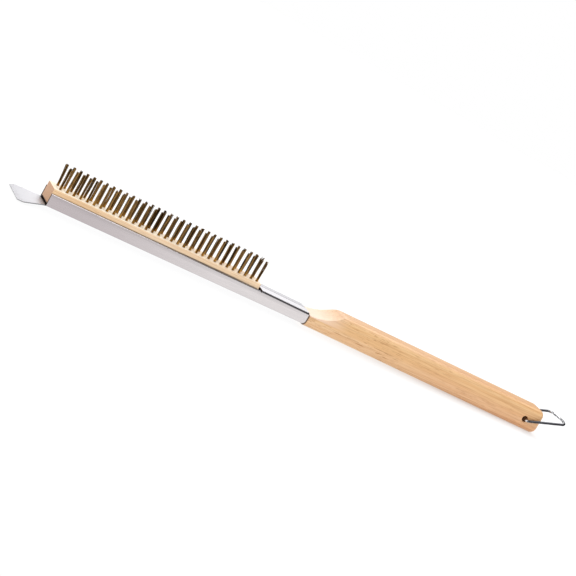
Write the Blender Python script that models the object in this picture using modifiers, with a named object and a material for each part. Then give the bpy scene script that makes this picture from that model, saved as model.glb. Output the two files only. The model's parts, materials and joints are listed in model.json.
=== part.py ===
"""Grill cleaning brush with a wire head, a scraper blade and a long wooden handle.

Lengths are in millimetres in the named sizes below and are turned into metres by MM. Along X the
scraper is at the low end and the hang loop at the high end, Y is across, and Z is up, the way the
bristles point. The sizes are drawn from the head's end face (x = 0) and from the underside of the
channel (z = 0); the whole brush is then set on its bounding box's bottom centre.
"""

import math

import bmesh
import bpy
from mathutils import Matrix, Vector

MM = 0.001
GAP = 0.3
# How near an edge must be to an end or a top to count as on it, and how far a cutter runs past what it cuts.
NEAR = 0.1
PAST = 5.0

# One folded stainless sheet: channel, sleeve and scraper.
SHEET = 1.0
CHANNEL_WIDTH = 27.5
CHANNEL_HEIGHT = 11.3
FOLD_RADIUS = 1.3
FOLD_STEPS = 3
WALL_END = 212.8
BEND_RELIEF = 1.0
SLEEVE_END = 266.6
SLEEVE_CORNER = 4.0
SLEEVE_CORNER_STEPS = 5
SEAM = 0.7
BLADE_LENGTH = 26.8
BLADE_DROP = math.radians(7.8)
BLADE_HALF_WIDTH = 23.9
TIP_HALF_WIDTH = 20.4
BLADE_CORNER = 4.7

# Bristle block and wire bundles. The block is a little slimmer at its far end, where it stands off the walls.
BLOCK_LENGTH = 211.4
BLOCK_TAPER = 0.6
BLOCK_TOP = 16.4
BLOCK_CORNER = 3.0
BLOCK_CORNER_STEPS = 4
BLOCK_CHAMFER = 0.5
TUFT_COUNT = 32
FIRST_TUFT = 6.6
TUFT_PITCH = 6.475
ROW_HALF_SPACING = 5.95
TUFT_RADIUS = 1.1
TUFT_TIP_RADIUS = 1.3
TUFT_TOP = 36.8
TUFT_HOLE_RADIUS = 1.6
TUFT_HOLE_SIDES = 8
TUFT_CLEARANCE = 0.1
GROOVE_DEPTH = 2.9
GROOVE_WIDTH = 2.8

# Handle.
HANDLE_END = 551.3
HANDLE_HALF_WIDTH = 14.0
HANDLE_ROUNDING = 7.0
BUTT_ROUNDING = 5.5
ROUNDING_STEPS = 5
SHOULDER_UNDERSIDE = -1.9
BUTT_UNDERSIDE = -5.0
SHOULDER_TOP = 22.0
BUTT_TOP = 19.8
SCOOP_START = 269.0
SCOOP_RADIUS = 45.0
SCOOP_STEPS = 12
CREST_RADIUS = 5.0
CREST_STEPS = 4
TONGUE_START = 214.4
TONGUE_ROOT = 12.0
TONGUE_CLEARANCE = 0.05
HANG_HOLE = (530.9, 6.4)
HANG_HOLE_RADIUS = 3.4
HANG_HOLE_SIDES = 20

# Hang loop: the bar through the hole, two legs and a bowed end, in a plane through the bar.
WIRE_RADIUS = 1.2
LOOP_PIVOT = (532.3, 5.6)
LOOP_LIFT = math.radians(16.7)
LOOP_HALF_WIDTH = 16.4
LOOP_LEG = 41.0
LOOP_BOW = 5.7
LOOP_BOW_FULLNESS = 0.8
LOOP_BEND = 3.2
LOOP_END_GAP = 1.6
BEND_STEPS = 5
BOW_STEPS = 9

# Pan-head wood screws on the middle line; those of the block stand halfway between two bundles.
BLOCK_SCREWS = tuple(FIRST_TUFT + TUFT_PITCH * (i + 0.5) for i in (3, 15, 27))
HANDLE_SCREWS = (228.0, 252.0)
SCREW_RADIUS = 1.1
SCREW_HEAD_RADIUS = 2.6
SCREW_HEAD_HEIGHT = 1.5
SCREW_CONE = 2.4
BLOCK_SCREW_REACH = 12.0
HANDLE_SCREW_REACH = 8.6
SCREW_CLEARANCE = 0.3
SCREW_SIDES = 12
DRIVE_LENGTH = 2.6
DRIVE_WIDTH = 0.7
DRIVE_DEPTH = 0.7


def new_collection(name):
    collection = bpy.data.collections.new(name)
    bpy.context.scene.collection.children.link(collection)
    return collection


def material(name, colour, roughness, metallic=0.0):
    made = bpy.data.materials.new(name)
    made.use_nodes = True
    made.diffuse_color = (*colour, 1.0)
    shader = made.node_tree.nodes["Principled BSDF"]
    shader.inputs["Base Color"].default_value = (*colour, 1.0)
    shader.inputs["Roughness"].default_value = roughness
    shader.inputs["Metallic"].default_value = metallic
    return made


def add_object(name, data, collection, finish=None):
    obj = bpy.data.objects.new(name, data)
    collection.objects.link(obj)
    if finish:
        obj.data.materials.append(finish)
    return obj


def add_cutter(name, mesh):
    cutter = add_object(name, mesh, CUTTERS)
    cutter.hide_render = True
    cutter.display_type = "WIRE"
    return cutter


def cut(obj, cutter, operation="DIFFERENCE"):
    modifier = obj.modifiers.new(cutter.name, "BOOLEAN")
    modifier.operation = operation
    modifier.object = cutter


def mesh_from(bm, name, recalculate=True):
    if recalculate:
        bmesh.ops.recalc_face_normals(bm, faces=bm.faces)
    mesh = bpy.data.meshes.new(name)
    bm.to_mesh(mesh)
    bm.free()
    return mesh


def shade(obj, angle=35.0):
    obj.data.shade_smooth()
    obj.data.set_sharp_from_angle(angle=math.radians(angle))


def add_box(bm, low, high):
    """A box between two corners, in millimetres."""
    low, high = Vector(low) * MM, Vector(high) * MM
    size = Matrix.Diagonal((*(high - low), 1.0))
    return bmesh.ops.create_cube(bm, size=1.0, matrix=Matrix.Translation((low + high) / 2) @ size)


def add_rod(bm, centre, radius, length, sides, axis="Z"):
    """A closed cylinder about its centre, in millimetres."""
    turn = Matrix.Rotation(math.pi / 2, 4, "X") if axis == "Y" else Matrix.Identity(4)
    half_side = Matrix.Rotation(math.pi / sides, 4, "Z")
    bmesh.ops.create_cone(
        bm,
        cap_ends=True,
        segments=sides,
        radius1=radius * MM,
        radius2=radius * MM,
        depth=length * MM,
        matrix=Matrix.Translation(Vector(centre) * MM) @ turn @ half_side,
    )


def arc(centre, radius, start, end, steps):
    """Points on an arc, both ends included; angles in degrees."""
    angles = [math.radians(start + (end - start) * i / steps) for i in range(steps + 1)]
    return [(centre[0] + radius * math.cos(a), centre[1] + radius * math.sin(a)) for a in angles]


def edges_past(bm, axis, limit):
    """The edges that lie at the limit along X (axis 0) or Z (axis 2), in millimetres."""
    return [e for e in bm.edges if all(v.co[axis] > (limit - NEAR) * MM for v in e.verts)]


def round_edges(bm, edges, radius, steps):
    bmesh.ops.bevel(bm, geom=edges, offset=radius * MM, segments=steps, profile=0.5, affect="EDGES")


def side_prism(name, outline, half_width):
    """A closed outline of (x, z) points carried across the brush, from -half_width to half_width."""
    bm = bmesh.new()
    points = [bm.verts.new((x * MM, -half_width * MM, z * MM)) for x, z in outline]
    face = bm.faces.new(points)
    across = bmesh.ops.extrude_face_region(bm, geom=[face])
    moved = [item for item in across["geom"] if isinstance(item, bmesh.types.BMVert)]
    bmesh.ops.translate(bm, verts=moved, vec=(0.0, 2 * half_width * MM, 0.0))
    return mesh_from(bm, name)


def sheet_section():
    """The outer face of the half section with y below 0, as (y, z) from the floor's middle upward."""
    half, top, fold = CHANNEL_WIDTH / 2, CHANNEL_HEIGHT, FOLD_RADIUS
    floor = [(0.0, 0.0)]
    lower_fold = arc((-half + fold, fold), fold, 270, 180, FOLD_STEPS)
    upper_fold = arc((-half + fold, top - fold), fold, 180, 90, FOLD_STEPS)
    return floor + lower_fold, upper_fold + [(-SEAM / 2, top)]


def steel_sheet():
    """Channel, sleeve and scraper, folded from one sheet: half of its outer face, mirrored, then thickened."""
    lower, upper = sheet_section()
    bm = bmesh.new()

    def row(x, section):
        return [bm.verts.new((x * MM, y * MM, z * MM)) for y, z in section]

    def skin(row_a, row_b):
        for a, b, c, d in zip(row_a, row_a[1:], row_b[1:], row_b):
            bm.faces.new((a, b, c, d))

    stations = (0.0, WALL_END, WALL_END + BEND_RELIEF, SLEEVE_END)
    rows = [row(x, lower + upper[:1]) for x in stations]
    for row_a, row_b in zip(rows, rows[1:]):
        skin(row_a, row_b)
    wall_top = [(-CHANNEL_WIDTH / 2, CHANNEL_HEIGHT)]
    tops = [row(x, wall_top) for x in stations[:2]]
    skin([rows[0][-1]] + tops[0], [rows[1][-1]] + tops[1])
    flanges = [row(x, upper[1:]) for x in stations[2:]]
    skin([rows[2][-1]] + flanges[0], [rows[3][-1]] + flanges[1])

    # The scraper carries the floor's flat part on, bent down and flared.
    def blade_row(along, half_width):
        x, z = -along * math.cos(BLADE_DROP), -along * math.sin(BLADE_DROP)
        return row(x, [(0.0, z), (-half_width, z)])

    root = rows[0][:2]
    sides = blade_row(BLADE_LENGTH - BLADE_CORNER, BLADE_HALF_WIDTH)
    tip = blade_row(BLADE_LENGTH, TIP_HALF_WIDTH)
    skin(root, sides)
    skin(sides, tip)

    bmesh.ops.recalc_face_normals(bm, faces=bm.faces)
    floor_face = min(bm.faces, key=lambda f: abs(f.calc_center_median().z))
    if floor_face.normal.z > 0:
        bmesh.ops.reverse_faces(bm, faces=bm.faces)
    mesh = mesh_from(bm, "steel_sheet", recalculate=False)
    obj = add_object("steel_channel_scraper", mesh, PARTS, STEEL)

    mirror = obj.modifiers.new("other_half", "MIRROR")
    mirror.use_axis = (False, True, False)
    mirror.merge_threshold = 1e-5
    thick = obj.modifiers.new("sheet", "SOLIDIFY")
    thick.thickness = SHEET * MM
    thick.offset = -1.0
    thick.use_even_offset = True

    # The sleeve's lower corners are rounded off in side view, which also sets its floor back.
    centre = (SLEEVE_END - SLEEVE_CORNER, SLEEVE_CORNER)
    corner = arc(centre, SLEEVE_CORNER, -90, 0, SLEEVE_CORNER_STEPS)
    past, below = SLEEVE_END + PAST, -PAST
    outside = [(past, SLEEVE_CORNER), (past, below), (centre[0], below)]
    corner_cutter = side_prism("sleeve_corner", corner + outside, CHANNEL_WIDTH)
    cut(obj, add_cutter("sleeve_corner", corner_cutter))

    holes = bmesh.new()
    for x in BLOCK_SCREWS + HANDLE_SCREWS:
        add_rod(holes, (x, 0.0, SHEET / 2), SCREW_RADIUS + SCREW_CLEARANCE, 4 * SHEET, SCREW_SIDES)
    cut(obj, add_cutter("sheet_screw_holes", mesh_from(holes, "sheet_screw_holes")))
    return obj


def add_pilot(bm, x, reach):
    """The hole in the wood for a screw that goes up to reach."""
    top = reach + 2 * SCREW_CLEARANCE
    add_rod(bm, (x, 0.0, top / 2), SCREW_RADIUS + SCREW_CLEARANCE, top, SCREW_SIDES)


def tuft_positions():
    return [FIRST_TUFT + TUFT_PITCH * i for i in range(TUFT_COUNT)]


def bristle_block():
    """The wooden block, bored right through for every tuft and grooved beneath for the bundles' folds."""
    half = CHANNEL_WIDTH / 2 - SHEET - GAP
    bottom = SHEET + GAP
    bm = bmesh.new()
    add_box(bm, (0.0, -half, bottom), (BLOCK_LENGTH, half, BLOCK_TOP))
    for edge in edges_past(bm, 0, BLOCK_LENGTH):
        for v in edge.verts:
            v.co.y = math.copysign((half - BLOCK_TAPER) * MM, v.co.y)
    upright = [e for e in edges_past(bm, 0, BLOCK_LENGTH) if e.verts[0].co.z != e.verts[1].co.z]
    round_edges(bm, upright, BLOCK_CORNER, BLOCK_CORNER_STEPS)
    round_edges(bm, edges_past(bm, 2, BLOCK_TOP), BLOCK_CHAMFER, 1)
    obj = add_object("bristle_block", mesh_from(bm, "bristle_block"), PARTS, BLOCK_WOOD)

    grooves, bores, pilots = bmesh.new(), bmesh.new(), bmesh.new()
    reach = ROW_HALF_SPACING + TUFT_RADIUS
    side = GROOVE_WIDTH / 2
    for x in tuft_positions():
        add_box(grooves, (x - side, -reach, 0.0), (x + side, reach, bottom + GROOVE_DEPTH))
        for y in (-ROW_HALF_SPACING, ROW_HALF_SPACING):
            add_rod(bores, (x, y, BLOCK_TOP / 2), TUFT_HOLE_RADIUS, 2 * BLOCK_TOP, TUFT_HOLE_SIDES)
    for x in BLOCK_SCREWS:
        add_pilot(pilots, x, BLOCK_SCREW_REACH)
    cut(obj, add_cutter("bundle_grooves", mesh_from(grooves, "bundle_grooves")))
    cut(obj, add_cutter("tuft_bores", mesh_from(bores, "tuft_bores")))
    cut(obj, add_cutter("block_pilots", mesh_from(pilots, "block_pilots")))
    shade(obj)
    return obj


def wire(name, points, radius, finish, tip_scale=1.0):
    """A round wire along points in millimetres, widening to tip_scale at its two ends."""
    data = bpy.data.curves.new(name, "CURVE")
    data.dimensions = "3D"
    data.bevel_depth = radius * MM
    data.bevel_resolution = 2
    data.use_fill_caps = True
    spline = data.splines.new("POLY")
    spline.points.add(len(points) - 1)
    for point, place in zip(spline.points, points):
        point.co = (*(c * MM for c in place), 1.0)
    spline.points[0].radius = spline.points[-1].radius = tip_scale
    return add_object(name, data, PARTS, finish)


def bristle_bundle(index, x):
    """One bundle: up through the near bore, across under the block, and up through the far bore."""
    low = SHEET + GAP + TUFT_RADIUS + TUFT_CLEARANCE
    near, far = -ROW_HALF_SPACING, ROW_HALF_SPACING
    places = [(x, near, TUFT_TOP), (x, near, BLOCK_TOP), (x, near, low)]
    places += [(x, far, low), (x, far, BLOCK_TOP), (x, far, TUFT_TOP)]
    return wire(f"bristle_bundle_{index:02d}", places, TUFT_RADIUS, BRASS, TUFT_TIP_RADIUS / TUFT_RADIUS)


def along_handle(x, at_shoulder, at_butt):
    """A height on the straight line from the shoulder to the butt."""
    return at_shoulder + (at_butt - at_shoulder) * (x - SLEEVE_END) / (HANDLE_END - SLEEVE_END)


def scoop_outline():
    """What the scoop takes off the handle's front, in (x, z): a hollow of SCOOP_RADIUS and a rounded crest."""
    floor = CHANNEL_HEIGHT - SHEET - GAP
    centre = (SCOOP_START, floor + SCOOP_RADIUS)
    top = along_handle(SCOOP_START + SCOOP_RADIUS / 2, SHOULDER_TOP, BUTT_TOP)
    # The crest's circle lies inside the wood, touches the handle's top and the scoop's circle.
    crest_z = top - CREST_RADIUS
    reach = SCOOP_RADIUS + CREST_RADIUS
    crest_x = centre[0] + math.sqrt(reach**2 - (centre[1] - crest_z) ** 2)
    turn = math.degrees(math.atan2(crest_z - centre[1], crest_x - centre[0]))
    hollow = arc(centre, SCOOP_RADIUS, -90, turn, SCOOP_STEPS)
    crest = arc((crest_x, crest_z), CREST_RADIUS, 180 + turn, 90, CREST_STEPS)
    front, above = SLEEVE_END - PAST, SHOULDER_TOP + PAST
    return [(front, above), (front, floor)] + hollow + crest[1:] + [(crest_x, above)]


def handle():
    """Rounded wooden bar with a scooped front, a tongue for the sleeve and a cross hole in its butt."""
    front = SLEEVE_END + GAP
    half = HANDLE_HALF_WIDTH
    bm = bmesh.new()
    add_box(bm, (front, -half, 0.0), (HANDLE_END, half, 1.0))
    for v in bm.verts:
        x, upper = v.co.x / MM, v.co.z > 0.5 * MM
        ends = (SHOULDER_TOP, BUTT_TOP) if upper else (SHOULDER_UNDERSIDE, BUTT_UNDERSIDE)
        v.co.z = along_handle(x, *ends) * MM
    lengthwise = [e for e in bm.edges if e.verts[0].co.x != e.verts[1].co.x]
    round_edges(bm, lengthwise, HANDLE_ROUNDING, ROUNDING_STEPS)
    round_edges(bm, edges_past(bm, 0, HANDLE_END), BUTT_ROUNDING, ROUNDING_STEPS)
    obj = add_object("handle", mesh_from(bm, "handle"), PARTS, HANDLE_WOOD)
    cut(obj, add_cutter("handle_scoop", side_prism("handle_scoop", scoop_outline(), half + PAST)))

    tongue_half = CHANNEL_WIDTH / 2 - SHEET - GAP
    tongue_top = CHANNEL_HEIGHT - SHEET - GAP - TONGUE_CLEARANCE
    low, high = (TONGUE_START, -tongue_half, SHEET + GAP), (front + TONGUE_ROOT, tongue_half, tongue_top)
    tongue = bmesh.new()
    add_box(tongue, low, high)
    cut(obj, add_cutter("tongue", mesh_from(tongue, "tongue")), "UNION")

    holes = bmesh.new()
    for x in HANDLE_SCREWS:
        add_pilot(holes, x, HANDLE_SCREW_REACH)
    hang_hole = (HANG_HOLE[0], 0.0, HANG_HOLE[1])
    add_rod(holes, hang_hole, HANG_HOLE_RADIUS, 4 * half, HANG_HOLE_SIDES, axis="Y")
    cut(obj, add_cutter("handle_holes", mesh_from(holes, "handle_holes")))
    shade(obj)
    return obj


def loop_route():
    """Half of the loop with y below 0, as (along, across): bar, bend, leg and half of the bowed end."""
    half, bend = LOOP_HALF_WIDTH, LOOP_BEND
    bar = [(0.0, -LOOP_END_GAP / 2)]
    corner = arc((bend, -half + bend), bend, 180, 270, BEND_STEPS)
    bow = arc((0.0, 0.0), 1.0, 0, 90, BOW_STEPS)
    bow = [(LOOP_LEG + LOOP_BOW * s, -half * abs(c) ** LOOP_BOW_FULLNESS) for c, s in bow]
    return bar + corner + bow


def hang_loop():
    near = loop_route()
    route = near + [(along, -across) for along, across in reversed(near[:-1])]
    x, z = LOOP_PIVOT
    lift = (math.cos(LOOP_LIFT), math.sin(LOOP_LIFT))
    points = [(along * lift[0], across, along * lift[1]) for along, across in route]
    obj = wire("hang_loop", points, WIRE_RADIUS, CHROME)
    obj.location = (x * MM, 0.0, z * MM)
    return obj


def screw(name, x, reach):
    """A pan-head screw from below: dome head under the sheet, shank and cone point in the wood."""
    neck = -GAP
    crown = neck - SCREW_HEAD_HEIGHT
    profile = [(0.0, reach), (SCREW_RADIUS, reach - SCREW_CONE), (SCREW_RADIUS, neck)]
    profile += [(SCREW_HEAD_RADIUS, neck), (SCREW_HEAD_RADIUS, 0.55 * crown)]
    profile += [(0.75 * SCREW_HEAD_RADIUS, 0.92 * crown), (0.0, crown)]
    bm = bmesh.new()
    points = [bm.verts.new((r * MM, 0.0, z * MM)) for r, z in profile]
    for a, b in zip(points, points[1:]):
        bm.edges.new((a, b))
    obj = add_object(name, mesh_from(bm, name, recalculate=False), PARTS, SCREW_STEEL)
    turned = obj.modifiers.new("turned", "SCREW")
    turned.axis = "Z"
    turned.steps = turned.render_steps = SCREW_SIDES
    turned.use_merge_vertices = True
    turned.merge_threshold = 1e-5
    obj.location = (x * MM, 0.0, 0.0)
    cut(obj, drive_recess(f"{name}_recess", x))
    return obj


def drive_recess(name, x):
    """The cross recess in a screw's head, as two crossed bars joined into one."""
    crown = -GAP - SCREW_HEAD_HEIGHT
    half, side = DRIVE_LENGTH / 2, DRIVE_WIDTH / 2
    points = [(half, side), (side, side), (side, half)]
    for _ in range(3):
        points += [(-py, px) for px, py in points[-3:]]
    bm = bmesh.new()
    base = [bm.verts.new(((x + px) * MM, py * MM, (crown - PAST) * MM)) for px, py in points]
    face = bm.faces.new(base)
    up = bmesh.ops.extrude_face_region(bm, geom=[face])
    moved = [item for item in up["geom"] if isinstance(item, bmesh.types.BMVert)]
    bmesh.ops.translate(bm, verts=moved, vec=(0.0, 0.0, (PAST + DRIVE_DEPTH) * MM))
    return add_cutter(name, mesh_from(bm, name))


def set_on_ground(root, objects):
    """Moves the root so that the bounding box's bottom centre is at the origin."""
    bpy.context.view_layer.update()
    graph = bpy.context.evaluated_depsgraph_get()
    corners = []
    for obj in objects:
        evaluated = obj.evaluated_get(graph)
        mesh = evaluated.to_mesh()
        corners += [evaluated.matrix_world @ v.co for v in mesh.vertices]
        evaluated.to_mesh_clear()
    low = [min(c[i] for c in corners) for i in range(3)]
    high = [max(c[i] for c in corners) for i in range(3)]
    root.location = (-(low[0] + high[0]) / 2, -(low[1] + high[1]) / 2, -low[2])
    print("origin in the drawing's frame, mm:", [round(-c / MM, 4) for c in root.location])


for old in list(bpy.data.objects):
    bpy.data.objects.remove(old)

PARTS = new_collection("grill_cleaning_brush")
CUTTERS = new_collection("cutters")

STEEL = material("brushed_stainless", (0.62, 0.60, 0.60), 0.32, 1.0)
BLOCK_WOOD = material("block_beech", (0.80, 0.58, 0.33), 0.62)
HANDLE_WOOD = material("handle_beech", (0.74, 0.45, 0.22), 0.48)
BRASS = material("brass_wire", (0.50, 0.32, 0.10), 0.38, 1.0)
CHROME = material("plated_wire", (0.72, 0.72, 0.74), 0.12, 1.0)
SCREW_STEEL = material("screw_steel", (0.60, 0.60, 0.58), 0.28, 1.0)

parts = [steel_sheet(), bristle_block(), handle(), hang_loop()]
parts += [bristle_bundle(i, x) for i, x in enumerate(tuft_positions(), 1)]
parts += [screw(f"block_screw_{i}", x, BLOCK_SCREW_REACH) for i, x in enumerate(BLOCK_SCREWS, 1)]
parts += [screw(f"handle_screw_{i}", x, HANDLE_SCREW_REACH) for i, x in enumerate(HANDLE_SCREWS, 1)]

brush = bpy.data.objects.new("grill_cleaning_brush", None)
PARTS.objects.link(brush)
for part in parts + list(CUTTERS.objects):
    part.parent = brush
set_on_ground(brush, parts)
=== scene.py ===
"""Looks of the grill cleaning brush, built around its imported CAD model.

Lengths are in millimetres in the named sizes below. Every piece is drawn from the head's end face (x = 0),
the middle plane (y = 0) and the channel's underside (z = 0); row() carries a point from there to the row
frame, in metres. X runs from the scraper to the hang loop, and Z is the way the bristles point.
"""

import json
import math
import random

import bmesh
import bpy
from mathutils import Matrix, Vector


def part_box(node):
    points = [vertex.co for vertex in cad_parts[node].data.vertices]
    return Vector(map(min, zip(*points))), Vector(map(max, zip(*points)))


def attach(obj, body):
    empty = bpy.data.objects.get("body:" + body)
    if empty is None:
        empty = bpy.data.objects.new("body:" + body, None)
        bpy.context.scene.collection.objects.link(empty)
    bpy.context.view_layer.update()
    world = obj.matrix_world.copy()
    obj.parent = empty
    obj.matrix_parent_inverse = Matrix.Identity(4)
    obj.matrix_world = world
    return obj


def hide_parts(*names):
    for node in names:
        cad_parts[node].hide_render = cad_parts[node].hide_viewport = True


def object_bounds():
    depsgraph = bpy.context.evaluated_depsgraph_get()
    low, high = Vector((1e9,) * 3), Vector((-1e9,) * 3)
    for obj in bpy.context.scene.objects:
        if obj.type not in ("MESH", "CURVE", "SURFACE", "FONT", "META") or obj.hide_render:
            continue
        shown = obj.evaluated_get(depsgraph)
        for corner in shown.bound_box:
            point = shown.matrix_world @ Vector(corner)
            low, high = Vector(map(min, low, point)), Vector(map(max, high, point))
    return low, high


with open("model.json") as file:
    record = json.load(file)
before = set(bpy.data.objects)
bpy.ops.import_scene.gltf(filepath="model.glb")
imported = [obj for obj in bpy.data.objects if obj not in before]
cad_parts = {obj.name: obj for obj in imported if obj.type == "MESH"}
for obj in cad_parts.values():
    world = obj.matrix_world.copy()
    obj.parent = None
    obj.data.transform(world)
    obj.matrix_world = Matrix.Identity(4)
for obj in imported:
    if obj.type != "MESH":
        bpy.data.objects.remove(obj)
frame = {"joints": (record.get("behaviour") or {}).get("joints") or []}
CAD_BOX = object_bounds()
MM = 0.001

# What the frame says: corners of the pieces' boxes, and where the loop is hinged.
SHEET_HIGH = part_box("steel_channel_scraper")[1]
BLOCK_LOW, BLOCK_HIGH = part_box("bristle_block")
HANDLE_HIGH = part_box("handle")[1]
TUFT_TOP_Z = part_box("bristle_bundle_01")[1].z
HINGE = Vector(frame["joints"][0]["pos_m"])

# The folded sheet. The walls' tops and the sleeve's top fall a little towards the handle, and the sleeve's
# two flanges rise a little to their seam. The scraper is ground thinner along its tip.
SHEET = 1.0
CHANNEL_HEIGHT = 11.3
HEAD = Vector((BLOCK_LOW.x, 0.0, SHEET_HIGH.z - CHANNEL_HEIGHT * MM))
CHANNEL_WIDTH = 27.5
FOLD_RADIUS = 1.3
WALL_TOP = 11.7
WALL_TOP_AT_SLEEVE = 11.3
SLEEVE_TOP_START = 12.6
SLEEVE_TOP_END = 11.8
SLEEVE_FOLD_RADIUS = 2.2
FLANGE_RISE = 0.25
RIM_ROUNDING = 0.65
FOLD_STEPS = 8
WALL_END = 212.8
BEND_RELIEF = 1.0
SLEEVE_END = (SHEET_HIGH.x - HEAD.x) / MM
SLEEVE_CORNER = 4.0
SLEEVE_CORNER_STEPS = 12
SEAM = 0.7
CUT_EDGE = 0.14
BLADE_DROP = math.radians(7.8)
BLADE_LENGTH = 26.8
BLADE_HALF_WIDTH = SHEET_HIGH.y / MM
TIP_HALF_WIDTH = 20.4
BLADE_CORNER = 4.7
CORNER_ROUNDING = 1.4
GROUND_WIDTH = 2.6
GROUND_THICKNESS = 0.7

# How far a cut face's normal points along X on a straight end, and at least on the scraper's clipped corners.
END_FACING = 0.6
CORNER_FACING = 0.3

# The clearance between pieces that touch on the real brush.
GAP = 0.3

# The bristle block, which tapers to its rounded end.
BLOCK_SHRINK = 0.3
BLOCK_LIFT = 0.9
BLOCK_LENGTH = (BLOCK_HIGH.x - HEAD.x) / MM
BLOCK_HALF_WIDTH = CHANNEL_WIDTH / 2 - SHEET - GAP - BLOCK_SHRINK
BLOCK_FOOT = SHEET + GAP + BLOCK_LIFT
BLOCK_TOP = (BLOCK_HIGH.z - HEAD.z) / MM
BLOCK_TAPER = 0.6
BLOCK_CORNER = 3.0
BLOCK_CORNER_STEPS = 8
BLOCK_EDGE = 0.5

# The bundles of wires. The far tuft of the first one leans off the head, and the last one has come loose.
TUFT_COUNT = 32
FIRST_TUFT = 6.6
TUFT_PITCH = 6.475
ROW_HALF_SPACING = 5.95
TUFT_INSET = 0.05
TUFT_TOP = (TUFT_TOP_Z - HEAD.z) / MM - TUFT_INSET
TUFT_BORE = 1.5
BORE_FLOOR = 0.2
BORE_PAST = 1.0
BORE_SIDES = 20
BUNDLE_RADIUS = 1.25
BUNDLE_FLARE = 1.45
WIRES_PER_TUFT = 19
BRISTLE_RADIUS = 0.22
BRISTLE_SIDES = 5
BRISTLE_STEPS = 5
BRISTLE_SHARP = math.radians(75)
BRISTLE_SHORTFALL = 1.3
BRISTLE_UNEVENNESS = 1.5
BRISTLE_DRIFT = 0.15
BRISTLE_BOW = 0.12
BRISTLE_CURL = 1.5
BRISTLE_SEED = 7
BUNDLE_LEAN = 0.18
BUNDLE_RISE = 2.0
BUNDLE_TURN = 1.0
BUNDLE_FLATNESS = 0.4
FIRST_TUFT_LEAN = 1.0
LAST_TUFT_SPREAD = 3.0

# The handle.
HANDLE_END = (HANDLE_HIGH.x - HEAD.x) / MM
HANDLE_HALF_WIDTH = HANDLE_HIGH.y / MM
HANDLE_ROUNDING = 7.0
BUTT_ROUNDING = 5.5
SHOULDER_UNDERSIDE = -1.9
BUTT_UNDERSIDE = -5.0
SHOULDER_TOP = 22.0
BUTT_TOP = 19.8
SCOOP_START = 269.0
SCOOP_RADIUS = 55.0
CREST_RADIUS = 11.0
TONGUE_START = 214.4
TONGUE_CORNER = 0.8
HANG_HOLE = (530.9, 6.4)
HANG_HOLE_RADIUS = 3.4
HANG_HOLE_SIDES = 48
WOOD_EDGE = 0.3
SHOULDER_CHAMFER = 0.8
SCOOP_STEPS = 24
SIDE_STEPS = 24
CROWN_STEPS = 6
BODY_STEPS = 6
ROUNDING_STEPS = 10

# The hang loop, in a plane through its bar.
LOOP_WIRE_RADIUS = 1.3
LOOP_WIRE_ROUNDING = 6
LOOP_LIFT = math.radians(16.7)
LOOP_HALF_WIDTH = 16.4
LOOP_LEG = 41.0
LOOP_BOW = 5.58
LOOP_BOW_FULLNESS = 0.8
LOOP_BEND = 3.2
LOOP_END_GAP = 1.6
LOOP_BEND_STEPS = 10
LOOP_BOW_STEPS = 28

# Pan-head screws with a domed head and a cross recess; those of the block stand between two bundles.
BLOCK_SCREWS = tuple(FIRST_TUFT + TUFT_PITCH * (i + 0.5) for i in (3, 15, 27))
HANDLE_SCREWS = (228.0, 252.0)
SCREW_RADIUS = 1.1
SCREW_HOLE = 1.4
SCREW_HOLE_SIDES = 32
SCREW_HEAD_RADIUS = 2.6
SCREW_HEAD_HEIGHT = 1.5
SCREW_CONE = 2.4
BLOCK_SCREW_REACH = 12.0
HANDLE_SCREW_REACH = 8.6
SCREW_POINT = 0.001
SCREW_SIDES = 48
SCREW_SHARP = math.radians(35)
SCREW_RIM_BEVEL = 0.1
SCREW_RIM_DEPTH = 0.45
SCREW_DOME_STEPS = 8
SCREW_DOME_FULLNESS = 0.7
RECESS_REACH = 1.3
RECESS_HALF_WIDTH = 0.35
RECESS_DEPTH = 0.7
RECESS_PAST = 1.0

# Colours of the wood, in linear light. The block's sides and the tones of the handle are multiplied in.
BLOCK_SIDES = ((1.03, 0.93, 0.85), (1.08, 1.09, 1.19))
# A painted highlight on the bristles' face of the block.
BLOCK_FACE_HIGHLIGHT = (0.97, 0.84, 0.64)
HANDLE_GOLDEN = (1.0, 0.99, 0.88)
# A painted shade on the handle's crown.
HANDLE_CROWN_SHADE = (0.92, 0.86, 0.84)
# Darker and redder towards the butt, most low down.
HANDLE_BUTTWARD = (0.94, 0.86, 0.81)
# A painted contact shadow along the underside near the butt.
HANDLE_CONTACT_SHADE = (0.96, 0.87, 0.80)
# A painted highlight in the scoop.
SCOOP_HIGHLIGHT = (0.92, 0.74, 0.66)
# Painted shade in the gaps between the wood and the steel.
WOOD_GAP_SHADE = (0.05, 0.025, 0.015)

# Where the tones, the painted highlights and the painted shades start and end, as drawn X along the brush and
# drawn Z up it.
BLOCK_SIDES_X = (20, 110)
BLOCK_FACE_HIGHLIGHT_X = (70, 190)
BLOCK_FACE_HIGHLIGHT_Z = (BLOCK_TOP - 0.4, BLOCK_TOP - 0.1)
BLOCK_SHADE_X = (20, 150)
BLOCK_SHADE_END_X = (BLOCK_LENGTH - BLOCK_CORNER - 20, BLOCK_LENGTH - BLOCK_CORNER + 1)
FOOT_SHADE_Z = (BLOCK_FOOT + 0.4, BLOCK_FOOT + 1.2)
SIDE_SHADE_Z = (WALL_TOP, WALL_TOP + 0.5)
RIM_SHADE_Z = (WALL_TOP + 0.2, WALL_TOP + 0.9)
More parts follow.
